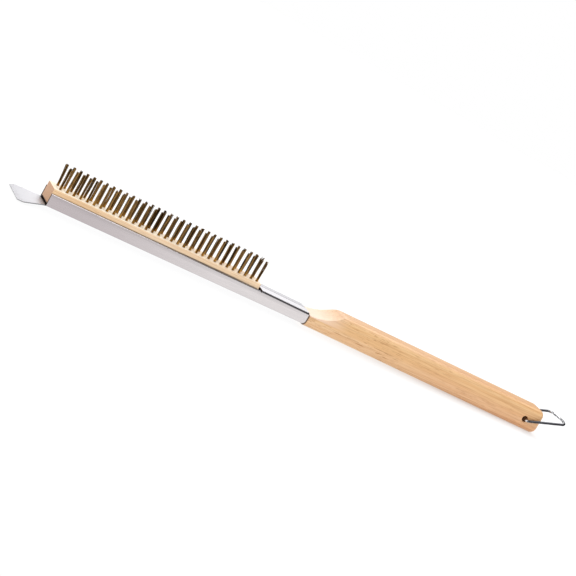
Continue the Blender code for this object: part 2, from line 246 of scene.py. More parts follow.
# The painted shade in the groove at the handle's shoulder.
SHOULDER_SHADE_X = (SLEEVE_END + 0.8, SLEEVE_END + 1.8)
GOLDEN_Z = (4, 12)
CROWN_SHADE_Z = (18.5, 20)
SCOOP_HIGHLIGHT_X = (SCOOP_START + 6, SCOOP_START + 45)
SCOOP_HIGHLIGHT_Z = (8.5, 10)
BUTTWARD_X = (370, 440)
BUTTWARD_Z = (8, 15)
CONTACT_SHADE_X = (430, 530)
CONTACT_SHADE_Z = (-3, 5)
FLECKS_X = (330, 430)
REFLECTION_SHADE_Z = (6.5, 10.5)
FOLD_REFLECTION_X = (90, 170)

# Colours of the metals, in linear light. A pair goes from head to sleeve, or from dark to bright.
# The walls' colour darkens towards the head as painted shade.
STEEL_WALL_SHADING = ((0.51, 0.455, 0.465), (0.72, 0.68, 0.68))
STEEL_FLAT = ((0.60, 0.595, 0.61), (0.72, 0.70, 0.72))
# A painted shade under the walls' tops, standing in for a darker reflection.
STEEL_REFLECTION_SHADE = (0.26, 0.24, 0.25)
# A painted dark reflection on the folds.
STEEL_FOLD_REFLECTION = (0.08, 0.075, 0.08)
STEEL_SCRATCH = (0.40, 0.38, 0.39)
STEEL_CLOUD = (0.45, 0.42, 0.43)
# The cut edges are rougher, and their dark colours are partly painted shade; on the channel's ends, which
# frame the block, the painted shade is darkest.
SHEARED_SCRAPER_SHADE = ((0.32, 0.32, 0.33), (0.52, 0.52, 0.53))
SHEARED_CHANNEL_SHADE = ((0.06, 0.042, 0.036), (0.15, 0.12, 0.11))
BRASS_SHAFT = ((0.022, 0.008, 0.0015), (0.50, 0.29, 0.10))
BRASS_FOOT = ((0.30, 0.13, 0.015), (0.76, 0.42, 0.08))
BRASS_STAIN = (0.06, 0.026, 0.005)
# Painted glints on the plating, and a painted dark reflection where it faces neither down nor lengthways.
PLATING_GLINTS = ((0.16, 0.16, 0.165), (0.75, 0.75, 0.76))
PLATING_DARK_REFLECTION = (0.045, 0.045, 0.05)
ZINC = ((0.55, 0.55, 0.52), (0.72, 0.72, 0.70))

# The camera: where it stands and looks in the row frame in metres, its roll, lens and sensor.
CAMERA_PLACE = Vector((-0.6735, -1.2794, 0.2786))
CAMERA_AIM = Vector((-0.0347, 0.0, 0.0267))
CAMERA_ROLL = math.radians(30.06)
CAMERA_LENS = 100.0
CAMERA_SENSOR = 36.0

# The table: its radius in metres, its whiteness near the butt and far from it, and how far those reach.
TABLE_RADIUS = 8.0
TABLE_WHITENESS = (0.45, 0.08)
TABLE_REACH = (60.0, 300.0)

# The studio's light, as plain brightness where 1 is the white of the background, and its one lamp.
WHITE = (1.0, 1.0, 1.0)
TABLE_LIGHT = 1.21
SOFT_AROUND = (1.14, 1.14, 1.16)
ROOM_DARK = (0.02, 0.02, 0.025)
ROOM_FRONT = (0.55, 0.55, 0.57)
ROOM_LEFT = (0.8, 0.8, 0.82)
LEFT_WINDOW = (2.8, 2.8, 2.82)
BACK_LOW = (0.74, 0.74, 0.76)
BACK_LEFT = (1.05, 1.05, 1.07)
BACK_RIGHT = (1.35, 1.35, 1.37)
BACK_END = (0.25, 0.25, 0.26)
LAMP_PLACE = Vector((0.5, 0.8, 1.3))
LAMP_SIZE = (1.4, 0.9)
LAMP_POWER = 11.0

# Where the parts of the mirrored room start and end, as components of the direction that gloss sees.
BACK_FROM = (0.60, 0.83)
BACK_TURNS = (0.22, 0.40)
BACK_RISES = (0.10, 0.24)
BACK_STOPS = (0.455, 0.50)
WINDOW_FROM = (0.10, 0.22)
DARK_FROM = (0.33, 0.40)
LOW_FRONT_BELOW = (0.45, 0.65)
LOW_FRONT_WITHIN = (-0.85, -0.60)


def row(x, y, z):
    """A drawn point, in millimetres, as a point of the row frame."""
    return HEAD + Vector((x, y, z)) * MM


# Shader nodes


def node(tree, kind, inputs=None, **settings):
    """Adds a shader node; inputs are constants or the sockets to link from."""
    made = tree.nodes.new("ShaderNode" + kind)
    for name, value in settings.items():
        setattr(made, name, value)
    for name, value in (inputs or {}).items():
        if isinstance(value, bpy.types.NodeSocket):
            tree.links.new(value, made.inputs[name])
        else:
            made.inputs[name].default_value = value
    return made


def mix(tree, amount, low, high, mode="MIX"):
    """Two colours blended by an amount."""
    made = node(tree, "Mix", data_type="RGBA", blend_type=mode, clamp_factor=True)
    for index, value in ((0, amount), (6, low), (7, high)):
        if isinstance(value, bpy.types.NodeSocket):
            tree.links.new(value, made.inputs[index])
        else:
            made.inputs[index].default_value = value if index == 0 else (*value, 1.0)
    return made.outputs[2]


def spread(tree, value, low, high, to_low=0.0, to_high=1.0):
    """A value carried smoothly from one span to another, and held at its ends."""
    inputs = {"Value": value, "From Min": low, "From Max": high, "To Min": to_low, "To Max": to_high}
    return node(tree, "MapRange", inputs, interpolation_type="SMOOTHSTEP").outputs["Result"]


def arithmetic(tree, operation, a, b=0.0):
    """One sum on two values, each a constant or a socket."""
    made = node(tree, "Math", operation=operation)
    for index, value in enumerate((a, b)):
        if isinstance(value, bpy.types.NodeSocket):
            tree.links.new(value, made.inputs[index])
        else:
            made.inputs[index].default_value = value
    return made.outputs[0]


def product(tree, *values):
    """Masks and strengths multiplied together."""
    total = values[0]
    for value in values[1:]:
        total = arithmetic(tree, "MULTIPLY", total, value)
    return total


def place_of(tree):
    """X, Y and Z of the shaded point in the row frame."""
    return node(tree, "SeparateXYZ", {"Vector": node(tree, "TexCoord").outputs["Object"]}).outputs


def facing_of(tree):
    """X, Y and Z of the way that the surface faces."""
    return node(tree, "SeparateXYZ", {"Vector": node(tree, "NewGeometry").outputs["Normal"]}).outputs


def along(tree, place, low, high, to_low=0.0, to_high=1.0):
    """A value that changes over a span of drawn X."""
    return spread(tree, place["X"], row(low, 0, 0).x, row(high, 0, 0).x, to_low, to_high)


def rising(tree, place, low, high, to_low=0.0, to_high=1.0):
    """A value that changes over a span of drawn Z."""
    return spread(tree, place["Z"], row(0, 0, low).z, row(0, 0, high).z, to_low, to_high)


def noise(tree, size, detail=3.0, distortion=0.0, shift=0.0):
    """Noise whose features are about size = (x, y, z) millimetres."""
    place = node(tree, "TexCoord").outputs["Object"]
    scale = [1.0 / (s * MM) for s in size]
    mapping = node(tree, "Mapping", {"Vector": place, "Scale": scale, "Location": (shift, shift, shift)})
    inputs = {"Vector": mapping.outputs[0], "Scale": 1.0, "Detail": detail, "Distortion": distortion}
    return node(tree, "TexNoise", inputs).outputs["Fac"]


def finish(name, roughness, metallic=0.0, **constants):
    """A material and its main shader, with the values that are the same all over."""
    made = bpy.data.materials.new(name)
    made.use_nodes = True
    tree = made.node_tree
    shader = tree.nodes["Principled BSDF"]
    shader.inputs["Roughness"].default_value = roughness
    shader.inputs["Metallic"].default_value = metallic
    for socket, value in constants.items():
        shader.inputs[socket.replace("_", " ")].default_value = value
    return made, tree, shader


def bump(tree, shader, height, strength, depth):
    """Relief of depth millimetres where height goes from 0 to 1."""
    inputs = {"Height": height, "Strength": strength, "Distance": depth * MM}
    tree.links.new(node(tree, "Bump", inputs).outputs["Normal"], shader.inputs["Normal"])


def block_gap_shade(tree, place):
    """Painted shade where the block meets the sheet: at its foot, beside the walls and just above their tops.
    """
    aside = arithmetic(tree, "ABSOLUTE", place["Y"])
    half = BLOCK_HALF_WIDTH * MM
    at_foot = rising(tree, place, *FOOT_SHADE_Z, 1.0, 0.0)
    at_side = spread(tree, aside, half - 1.0 * MM, half - 0.4 * MM)
    below_rim = rising(tree, place, *SIDE_SHADE_Z, 1.0, 0.0)
    painted_shade = arithmetic(tree, "MAXIMUM", at_foot, product(tree, at_side, below_rim))

    # Above the rim the painted shade is broken, thickens away from the head and stops short of the rounded
    # end.
    above_rim = rising(tree, place, *RIM_SHADE_Z, 1.0, 0.0)
    broken = spread(tree, noise(tree, (16.0, 4.0, 1.2), detail=4.0, shift=19.0), 0.35, 0.55, 0.45, 1.0)
    on_side = spread(tree, aside, half - 1.2 * MM, half - 0.8 * MM)
    thicker = along(tree, place, *BLOCK_SHADE_X, 0.1, 1.0)
    stopping = along(tree, place, *BLOCK_SHADE_END_X, 1.0, 0.0)
    return arithmetic(tree, "MAXIMUM", painted_shade, product(tree, above_rim, broken, on_side, thicker, stopping))


def block_tone_and_highlight(tree, place, colour):
    """Redder at the head end, with a painted highlight on the bristles' own face, above all at the head."""
    sides = mix(tree, along(tree, place, *BLOCK_SIDES_X), *BLOCK_SIDES)
    colour = mix(tree, 1.0, colour, sides, "MULTIPLY")
    # A painted highlight on the top face, strongest at the head.
    face = rising(tree, place, *BLOCK_FACE_HIGHLIGHT_Z)
    fading = along(tree, place, *BLOCK_FACE_HIGHLIGHT_X, 0.9, 0.2)
    return mix(tree, product(tree, face, fading), colour, BLOCK_FACE_HIGHLIGHT)


def handle_gap_shade(tree, place):
    """Painted shade in the groove between the handle's shoulder and the sleeve."""
    return along(tree, place, *SHOULDER_SHADE_X, 1.0, 0.0)


def handle_tone_and_light(tree, place, colour):
    """More golden higher up, with a painted shade on the crown and a painted highlight in the scoop, redder
    towards the butt, and a painted contact shadow low down near the butt.
    """
    colour = mix(tree, rising(tree, place, *GOLDEN_Z), colour, HANDLE_GOLDEN, "MULTIPLY")
    # A painted shade on the crown.
    colour = mix(tree, rising(tree, place, *CROWN_SHADE_Z), colour, HANDLE_CROWN_SHADE, "MULTIPLY")
    # A painted highlight in the scoop.
    in_scoop = along(tree, place, *SCOOP_HIGHLIGHT_X, 0.50, 0.0)
    on_top = rising(tree, place, *SCOOP_HIGHLIGHT_Z)
    colour = mix(tree, product(tree, in_scoop, on_top), colour, SCOOP_HIGHLIGHT)
    # Darker and redder towards the butt, most low down.
    buttward = product(tree, along(tree, place, *BUTTWARD_X), rising(tree, place, *BUTTWARD_Z, 1.0, 0.35))
    colour = mix(tree, buttward, colour, HANDLE_BUTTWARD, "MULTIPLY")
    # A painted contact shadow low down near the butt.
    contact_shade = product(tree, along(tree, place, *CONTACT_SHADE_X), rising(tree, place, *CONTACT_SHADE_Z, 1.0, 0.0))
    return mix(tree, contact_shade, colour, HANDLE_CONTACT_SHADE, "MULTIPLY")


def wood(name, pale, warm, dark, end_grain, flecks_on, roughness, coat, tone, gap_shade):
    """Beech: soft bands, fine fibres, lines and short darker flecks along X, and speckled end grain."""
    made, tree, shader = finish(name, roughness, Coat_Weight=coat, Coat_Roughness=0.3)
    place = place_of(tree)
    bands = noise(tree, (150.0, 5.0, 5.0), detail=2.0, distortion=0.6)
    fibres = noise(tree, (24.0, 0.5, 0.5), detail=4.0, shift=3.0)
    colour = mix(tree, spread(tree, bands, 0.35, 0.65), pale, warm)
    colour = mix(tree, spread(tree, fibres, 0.40, 0.70, 0.0, 0.32), colour, dark)
    lines = noise(tree, (110.0, 1.3, 1.3), detail=2.0, distortion=0.4, shift=17.0)
    colour = mix(tree, spread(tree, lines, 0.52, 0.64, 0.0, 0.28), colour, dark)

    # Streaks come in patches, small flecks everywhere, and both fade or grow along the piece.
    streaks = noise(tree, (12.0, 0.75, 0.75), detail=2.0, distortion=0.3, shift=7.0)
    patches = noise(tree, (60.0, 12.0, 12.0), detail=1.0, shift=11.0)
    flecks = spread(tree, noise(tree, (2.2, 0.28, 0.28), detail=1.0, shift=5.0), 0.66, 0.74)
    marks = product(tree, spread(tree, streaks, 0.56, 0.66), spread(tree, patches, 0.38, 0.58))
    marks = arithmetic(tree, "MAXIMUM", marks, product(tree, flecks, 0.55))
    colour = mix(tree, product(tree, marks, along(tree, place, *FLECKS_X, *flecks_on)), colour, dark)

    # Across the grain, on faces that look along X.
    pores = noise(tree, (0.35, 0.35, 0.35), detail=3.0)
    rings = noise(tree, (3.0, 2.0, 9.0), detail=1.0, distortion=0.4)
    end_colour = mix(tree, spread(tree, rings, 0.35, 0.65, 0.0, 0.5), end_grain, dark)
    end_colour = mix(tree, spread(tree, pores, 0.50, 0.72, 0.0, 0.6), end_colour, dark)
    across = spread(tree, arithmetic(tree, "ABSOLUTE", facing_of(tree)["X"]), 0.80, 0.95)
    # The tones carry painted highlights and shades.
    colour = tone(tree, place, mix(tree, across, colour, end_colour))
    # Painted shade darkens the gaps against the steel.
    colour = mix(tree, product(tree, gap_shade(tree, place), 0.85), colour, WOOD_GAP_SHADE)
    tree.links.new(colour, shader.inputs["Base Color"])

    gloss = arithmetic(tree, "ADD", product(tree, fibres, 0.25), roughness - 0.12)
    tree.links.new(gloss, shader.inputs["Roughness"])
    bump(tree, shader, arithmetic(tree, "ADD", fibres, flecks), 0.35, 0.05)
    return made


def block_beech():
    """Bare, pale beech."""
    return wood(
        "block_beech",
        pale=(0.83, 0.65, 0.42),
        warm=(0.80, 0.58, 0.34),
        dark=(0.50, 0.30, 0.13),
        end_grain=(0.62, 0.37, 0.215),
        flecks_on=(0.45, 0.45),
        roughness=0.62,
        coat=0.3,
        tone=block_tone_and_highlight,
        gap_shade=block_gap_shade,
    )


def handle_beech():
    """Oiled, warmer beech, with its flecks strongest at the shoulder."""
    return wood(
        "handle_beech",
        pale=(0.82, 0.545, 0.305),
        warm=(0.76, 0.46, 0.23),
        dark=(0.42, 0.18, 0.05),
        end_grain=(0.62, 0.38, 0.20),
        flecks_on=(0.85, 0.35),
        roughness=0.45,
        coat=0.2,
        tone=handle_tone_and_light,
        gap_shade=handle_gap_shade,
    )


def brushed_steel():
    """Stainless sheet: hair-fine brushing along X over faint cloudy marks, a scraper dulled by use, and
    painted shades and dark reflections on its walls and folds.
    """
    made, tree, shader = finish("brushed_stainless", 0.3, metallic=1.0)
    place, facing = place_of(tree), facing_of(tree)
    hairs = noise(tree, (60.0, 0.10, 0.10), detail=3.0)
    scratches = noise(tree, (18.0, 0.5, 0.5), detail=2.0, shift=4.0)
    clouds = noise(tree, (30.0, 9.0, 9.0), detail=2.0, shift=9.0)
    # The walls darken towards the head, a painted shade.
    wall_shading = mix(tree, along(tree, place, 0, WALL_END), *STEEL_WALL_SHADING)
    flats = mix(tree, along(tree, place, -1, 0), *STEEL_FLAT)
    on_wall = spread(tree, arithmetic(tree, "ABSOLUTE", facing["Y"]), 0.5, 0.9)
    colour = mix(tree, on_wall, flats, wall_shading)

    # A streaky painted shade under the walls' tops stands in for a darker reflection, and a painted dark
    # reflection turns the folds darker towards the sleeve.
    streaks = spread(tree, noise(tree, (70.0, 1.2, 1.2), detail=2.0, shift=13.0), 0.30, 0.60)
    reflection_shade = product(tree, rising(tree, place, *REFLECTION_SHADE_Z, 0.0, 0.28), streaks, on_wall)
    colour = mix(tree, reflection_shade, colour, STEEL_REFLECTION_SHADE)
    off_wall = spread(tree, facing["Z"], 0.10, 0.25)
    off_flat = spread(tree, facing["Z"], 0.93, 0.98, 1.0, 0.0)
    # A painted dark reflection on the folds, growing towards the sleeve.
    fold_reflection = product(tree, off_wall, off_flat, along(tree, place, *FOLD_REFLECTION_X, 0.0, 0.78))
    colour = mix(tree, fold_reflection, colour, STEEL_FOLD_REFLECTION)
    colour = mix(tree, spread(tree, scratches, 0.3, 0.7, 0.0, 0.12), colour, STEEL_SCRATCH)
    colour = mix(tree, spread(tree, clouds, 0.4, 0.7, 0.0, 0.10), colour, STEEL_CLOUD)
    tree.links.new(colour, shader.inputs["Base Color"])

    dulled = along(tree, place, -2, 0, 0.42, 0.09)
    gloss = arithmetic(tree, "ADD", product(tree, hairs, 0.16), dulled)
    tree.links.new(gloss, shader.inputs["Roughness"])
    bump(tree, shader, arithmetic(tree, "ADD", hairs, scratches), 0.2, 0.006)
    return made


def sheared_steel_and_shade():
    """The sheet's raw cut edges, rougher than its faces and darkened partly by painted shade, and darkest, as
    painted shade, where they frame the block.
    """
    made, tree, shader = finish("sheared_stainless_and_shade", 0.5, metallic=1.0)
    tears = noise(tree, (0.25, 0.25, 1.0), detail=2.0)
    on_channel = along(tree, place_of(tree), -SHEET, 0)
    # Partly painted shade on the cut edges, darkest on the channel's ends.
    scraper, channel = mix(tree, tears, *SHEARED_SCRAPER_SHADE), mix(tree, tears, *SHEARED_CHANNEL_SHADE)
    tree.links.new(mix(tree, on_channel, scraper, channel), shader.inputs["Base Color"])
    tree.links.new(spread(tree, tears, 0.3, 0.7, 0.4, 0.6), shader.inputs["Roughness"])
    return made


def brass_wire():
    """Drawn brass, gold by the block and dark brown above it; each wire has its own tone."""
    made, tree, shader = finish("brass_wire", 0.38, metallic=1.0)
    rise = rising(tree, place_of(tree), BLOCK_TOP, BLOCK_TOP + 0.25 * (TUFT_TOP - BLOCK_TOP))
    tone = spread(tree, node(tree, "Attribute", attribute_name="wire_tone").outputs["Fac"], 0.15, 0.85)
    colour = mix(tree, rise, mix(tree, tone, *BRASS_FOOT), mix(tree, tone, *BRASS_SHAFT))
    stains = noise(tree, (0.8, 0.8, 3.0), detail=2.0)
    colour = mix(tree, spread(tree, stains, 0.5, 0.7, 0.0, 0.5), colour, BRASS_STAIN)
    tree.links.new(colour, shader.inputs["Base Color"])
    tree.links.new(spread(tree, stains, 0.3, 0.7, 0.28, 0.5), shader.inputs["Roughness"])
    return made


def plated_wire():
    """Bright plated wire with painted glints, and a painted dark reflection where it faces neither down nor
    lengthways.
    """
    made, tree, shader = finish("plated_wire", 0.1, metallic=1.0)
    facing = facing_of(tree)
    not_down = spread(tree, facing["Z"], -0.80, -0.40)
    not_lengthways = spread(tree, arithmetic(tree, "ABSOLUTE", facing["X"]), 0.28, 0.50, 1.0, 0.0)
    glints = spread(tree, noise(tree, (2.4, 2.4, 2.4), detail=2.0, shift=5.0), 0.44, 0.56)
    # Painted glints, and a painted dark reflection.
    colour = mix(tree, product(tree, not_down, not_lengthways), mix(tree, glints, *PLATING_GLINTS), PLATING_DARK_REFLECTION)
    tree.links.new(colour, shader.inputs["Base Color"])
    specks = noise(tree, (1.5, 1.5, 1.5), detail=3.0)
    tree.links.new(spread(tree, specks, 0.3, 0.7, 0.06, 0.16), shader.inputs["Roughness"])
    return made


def screw_steel():
    """Zinc-plated screw, slightly cloudy."""
    made, tree, shader = finish("screw_steel", 0.28, metallic=1.0)
    clouds = noise(tree, (0.7, 0.7, 0.7), detail=3.0)
    tree.links.new(mix(tree, clouds, *ZINC), shader.inputs["Base Color"])
    tree.links.new(spread(tree, clouds, 0.3, 0.7, 0.2, 0.36), shader.inputs["Roughness"])
    return made


# Shapes


def arc(centre, radius, start, end, steps):
    """Points on an arc, both ends included; angles in degrees."""
    angles = [math.radians(start + (end - start) * i / steps) for i in range(steps + 1)]
    return [(centre[0] + radius * math.cos(a), centre[1] + radius * math.sin(a)) for a in angles]


def mesh_from(bm, name):
    """Turns a bmesh into a mesh and frees it."""
    mesh = bpy.data.meshes.new(name)
    bm.to_mesh(mesh)
    bm.free()
    return mesh


def new_object(name, data):
    """An object of that data, in the scene."""
    obj = bpy.data.objects.new(name, data)
    bpy.context.scene.collection.objects.link(obj)
    return obj


def piece(name, data, material, body, slot, *nodes):
    """A visible piece: what it is made of, the body it rides on and the CAD nodes it stands for."""
    obj = new_object(name, data)
    obj.data.materials.append(material)
    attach(obj, body)
    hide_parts(*nodes)
    return obj


def cut(obj, mesh):
    """Takes a closed mesh out of obj and applies that at once."""
    cutter = new_object("cutter", mesh)
    modifier = obj.modifiers.new("cut", "BOOLEAN")
    modifier.object = cutter
    settle(obj)
    bpy.data.objects.remove(cutter)


def settle(obj):
    """Applies every modifier to the object's own mesh."""
    graph = bpy.context.evaluated_depsgraph_get()
    settled = bpy.data.meshes.new_from_object(obj.evaluated_get(graph), depsgraph=graph)
    obj.modifiers.clear()
    old = obj.data
    obj.data = settled
    bpy.data.meshes.remove(old)


def round_marked(obj, width, segments):
    """Rounds the edges that carry a bevel weight."""
    bevel = obj.modifiers.new("marked", "BEVEL")
    bevel.width = width * MM
    bevel.segments = segments
    bevel.limit_method = "WEIGHT"
    settle(obj)
    obj.data.attributes.remove(obj.data.attributes["bevel_weight_edge"])


def soften(obj, width, limit, segments=2):
    """Rounds every edge sharper than limit degrees, and shades what is flatter smooth."""
    bevel = obj.modifiers.new("edges", "BEVEL")
    bevel.width = width * MM
    bevel.segments = segments
    bevel.limit_method = "ANGLE"
    bevel.angle_limit = math.radians(limit)
    bevel.miter_outer = "MITER_ARC"
    settle(obj)
    obj.data.shade_smooth()
    obj.data.set_sharp_from_angle(angle=math.radians(limit))
    normals = obj.modifiers.new("normals", "WEIGHTED_NORMAL")
    normals.keep_sharp = True
    settle(obj)


def add_rod(bm, centre, radius, length, sides, axis="Z"):
    """A closed cylinder about its drawn centre."""
    turn = Matrix.Rotation(math.pi / 2, 4, "X") if axis == "Y" else Matrix.Identity(4)
    bmesh.ops.create_cone(
        bm,
        cap_ends=True,
        segments=sides,
        radius1=radius * MM,
        radius2=radius * MM,
        depth=length * MM,
        matrix=Matrix.Translation(row(*centre)) @ turn,
    )


def prism(outline, half_width):
    """A closed outline of drawn (x, z) points carried across the brush."""
    bm = bmesh.new()
    face = bm.faces.new([bm.verts.new(row(x, -half_width, z)) for x, z in outline])
    across = bmesh.ops.extrude_face_region(bm, geom=[face])
    moved = [item for item in across["geom"] if isinstance(item, bmesh.types.BMVert)]
    bmesh.ops.translate(bm, verts=moved, vec=(0.0, 2 * half_width * MM, 0.0))
    bmesh.ops.recalc_face_normals(bm, faces=bm.faces)
    return mesh_from(bm, "prism")


def loft(rings, name):
    """A closed skin over rings of drawn points, capped at both ends."""
    bm = bmesh.new()
    rows = [[bm.verts.new(row(*point)) for point in ring] for ring in rings]
    for a, b in zip(rows, rows[1:]):
        for i in range(len(a)):
            j = (i + 1) % len(a)
            bm.faces.new((a[i], a[j], b[j], b[i]))
    bm.faces.new(rows[0])
    bm.faces.new(rows[-1])
    bmesh.ops.recalc_face_normals(bm, faces=bm.faces)
    return mesh_from(bm, name)


# The folded steel sheet


def rounded_corner(before, corner, after, radius, steps=4):
    """The points that round one corner of an outline off."""
    before, corner, after = Vector(before), Vector(corner), Vector(after)
    to_before, to_after = (before - corner).normalized(), (after - corner).normalized()
    half = to_before.angle(to_after) / 2
    reach = radius / math.tan(half)
    start, end = corner + to_before * reach, corner + to_after * reach
    centre = corner + (to_before + to_after).normalized() * (radius / math.sin(half))
    points = []
    for i in range(steps + 1):
        spoke = (start - centre).lerp(end - centre, i / steps).normalized()
        points.append(tuple(centre + spoke * radius))
    return points


def blade_outline():
    """Half of the scraper's outline as (distance from the bend, half width), from the root to the tip."""
    root = (0.0, CHANNEL_WIDTH / 2 - FOLD_RADIUS)
    side = (BLADE_LENGTH - BLADE_CORNER, BLADE_HALF_WIDTH)
    tip = (BLADE_LENGTH, TIP_HALF_WIDTH)
    middle = (BLADE_LENGTH, 0.0)
    points = rounded_corner(root, side, tip, CORNER_ROUNDING)
    points += rounded_corner(side, tip, middle, CORNER_ROUNDING)
    return points


def mark_rims(obj):
    """Weights the outer top edges of the channel's two walls."""
    weights = obj.data.attributes.new("bevel_weight_edge", "FLOAT", "EDGE")
    wall, near = CHANNEL_WIDTH / 2 * MM, SHEET * MM / 10
    start, end = row(0.0, 0.0, WALL_TOP), row(WALL_END, 0.0, WALL_TOP_AT_SLEEVE)

    def on_rim(place):
        top = start.z + (end.z - start.z) * (place.x - start.x) / (end.x - start.x)
        return abs(abs(place.y) - wall) < near and abs(place.z - top) < near and place.x < end.x + near

    for edge in obj.data.edges:
        if all(on_rim(obj.data.vertices[i].co) for i in edge.vertices):
            weights.data[edge.index].value = 1.0


def mark_sheared_edges(obj, material):
    """Gives the sheet's upright cut edges their own finish and painted shade, apart from the scraper's long
    sides.
    """
    obj.data.materials.append(material)
    for face in obj.data.polygons:
        endways, upright = abs(face.normal.x), abs(face.normal.z) < END_FACING
        on_tip = face.center.x < HEAD.x and upright and endways > CORNER_FACING
        if on_tip or endways > END_FACING:
            face.material_index = 1


def steel_sheet(material, edge_material):
    """Channel, sleeve and scraper: half of the outer face, mirrored and thickened."""
    half, fold, over = CHANNEL_WIDTH / 2, FOLD_RADIUS, SLEEVE_FOLD_RADIUS
    lower = [(0.0, 0.0)] + arc((-half + fold, fold), fold, 270, 180, FOLD_STEPS)
    bm = bmesh.new()

    def line(x, section):
        return [bm.verts.new(row(x, y, z)) for y, z in section]

    def skin(row_a, row_b):
        for a, b, c, d in zip(row_a, row_a[1:], row_b[1:], row_b):
            bm.faces.new((a, b, c, d))

    def flange(top):
        return arc((-half + over, top - over), over, 180, 90, FOLD_STEPS) + [(-SEAM / 2, top + FLANGE_RISE)]

    stations = (0.0, WALL_END, WALL_END + BEND_RELIEF, SLEEVE_END)
    tops = (WALL_TOP, SLEEVE_TOP_START, SLEEVE_TOP_START, SLEEVE_TOP_END)
    rows = [line(x, lower + [(-half, top - over)]) for x, top in zip(stations, tops)]
    for row_a, row_b in zip(rows, rows[1:]):
        skin(row_a, row_b)
    wall_tops = [line(x, [(-half, top)]) for x, top in ((0.0, WALL_TOP), (WALL_END, WALL_TOP_AT_SLEEVE))]
    skin([rows[0][-1]] + wall_tops[0], [rows[1][-1]] + wall_tops[1])
    flanges = [line(x, flange(top)[1:]) for x, top in zip(stations[2:], tops[2:])]
    skin([rows[2][-1]] + flanges[0], [rows[3][-1]] + flanges[1])

    # The scraper carries the floor's flat part on; each row knows its share of the ground tip.
    last, ground = rows[0][:2], []
    for distance, width in blade_outline():
        x, z = -distance * math.cos(BLADE_DROP), -distance * math.sin(BLADE_DROP)
        new = line(x, [(0.0, z), (-width, z)])
        skin(last, new)
        share = max(0.0, (distance - BLADE_LENGTH + GROUND_WIDTH) / GROUND_WIDTH)
        ground += [(vertex, share) for vertex in new]
        last = new
    bmesh.ops.recalc_face_normals(bm, faces=bm.faces)
    floor_face = min(bm.faces, key=lambda f: abs(f.calc_center_median().z - HEAD.z))
    if floor_face.normal.z > 0:
        bmesh.ops.reverse_faces(bm, faces=bm.faces)
    bm.verts.index_update()
    shares = {vertex.index: share for vertex, share in ground}
    mesh = mesh_from(bm, "sheet")
    obj = piece("sheet_steel_scraper", mesh, material, "brush", "stainless_sheet", "steel_channel_scraper")

    thickness = obj.vertex_groups.new(name="thickness")
    for vertex in obj.data.vertices:
        share = shares.get(vertex.index, 0.0)
        thickness.add([vertex.index], 1.0 - share * (1.0 - GROUND_THICKNESS), "REPLACE")
    mirror = obj.modifiers.new("other_half", "MIRROR")
    mirror.use_axis = (False, True, False)
    mirror.merge_threshold = 1e-6
    thick = obj.modifiers.new("sheet", "SOLIDIFY")
    thick.thickness = SHEET * MM
    thick.offset = -1.0
    thick.use_even_offset = True
    thick.vertex_group = "thickness"
    settle(obj)

    # The sleeve's lower corners are rounded off in side view.
    centre = (SLEEVE_END - SLEEVE_CORNER, SLEEVE_CORNER)
    past, below = SLEEVE_END + SLEEVE_CORNER, -SLEEVE_CORNER
    corner = arc(centre, SLEEVE_CORNER, -90, 0, SLEEVE_CORNER_STEPS)
    cut(obj, prism(corner + [(past, SLEEVE_CORNER), (past, below), (centre[0], below)], CHANNEL_WIDTH))
    holes = bmesh.new()
    for x in BLOCK_SCREWS + HANDLE_SCREWS:
        add_rod(holes, (x, 0.0, SHEET / 2), SCREW_HOLE, 4 * SHEET, SCREW_HOLE_SIDES)
    cut(obj, mesh_from(holes, "holes"))
    mark_rims(obj)
    round_marked(obj, RIM_ROUNDING, segments=6)
    soften(obj, CUT_EDGE, limit=40)
    mark_sheared_edges(obj, edge_material)


# The block and the wires


def tuft_places():
    """The drawn X of each bundle."""
    return [FIRST_TUFT + TUFT_PITCH * i for i in range(TUFT_COUNT)]


def bristle_block(material):
    """The wooden block with its rounded far end and a bore for every tuft."""
    corner_x = BLOCK_LENGTH - BLOCK_CORNER
    corner_y = BLOCK_CORNER - (BLOCK_HALF_WIDTH - BLOCK_TAPER)
    corner = arc((corner_x, corner_y), BLOCK_CORNER, -90, 0, BLOCK_CORNER_STEPS)
    near_side = [(0.0, -BLOCK_HALF_WIDTH)] + corner
    outline = near_side + [(x, -y) for x, y in reversed(near_side)]
    rings = [[(x, y, z) for x, y in outline] for z in (BLOCK_FOOT, BLOCK_TOP)]
    obj = piece("beech_block", loft(rings, "block"), material, "brush", "block_wood", "bristle_block")
    soften(obj, BLOCK_EDGE, limit=40, segments=3)
    bores = bmesh.new()
    length = BLOCK_TOP + BORE_PAST - BLOCK_FOOT - BORE_FLOOR
    for x in tuft_places():
        for y in (-ROW_HALF_SPACING, ROW_HALF_SPACING):
            add_rod(bores, (x, y, BLOCK_TOP + BORE_PAST - length / 2), TUFT_BORE, length, BORE_SIDES)
    cut(obj, mesh_from(bores, "bores"))


def add_wire(bm, points, radius, sides, tone, layer):
    """A capped tube through drawn points."""
    rings = []
    for i, point in enumerate(points):
        here = Vector(point)
        before, after = Vector(points[max(i - 1, 0)]), Vector(points[min(i + 1, len(points) - 1)])
        way = (after - before).normalized()
        side = way.cross(Vector((1.0, 0.0, 0.0))).normalized()
        other = way.cross(side)
        ring = []
        for k in range(sides):
            turn = 2 * math.pi * k / sides
            spoke = side * math.cos(turn) + other * math.sin(turn)
            vertex = bm.verts.new(row(*(here + spoke * radius)))
            vertex[layer] = tone
            ring.append(vertex)
        rings.append(ring)
    for a, b in zip(rings, rings[1:]):
        for k in range(sides):
            bm.faces.new((a[k], a[(k + 1) % sides], b[(k + 1) % sides], b[k]))
    bm.faces.new(list(reversed(rings[0])))
    bm.faces.new(rings[-1])


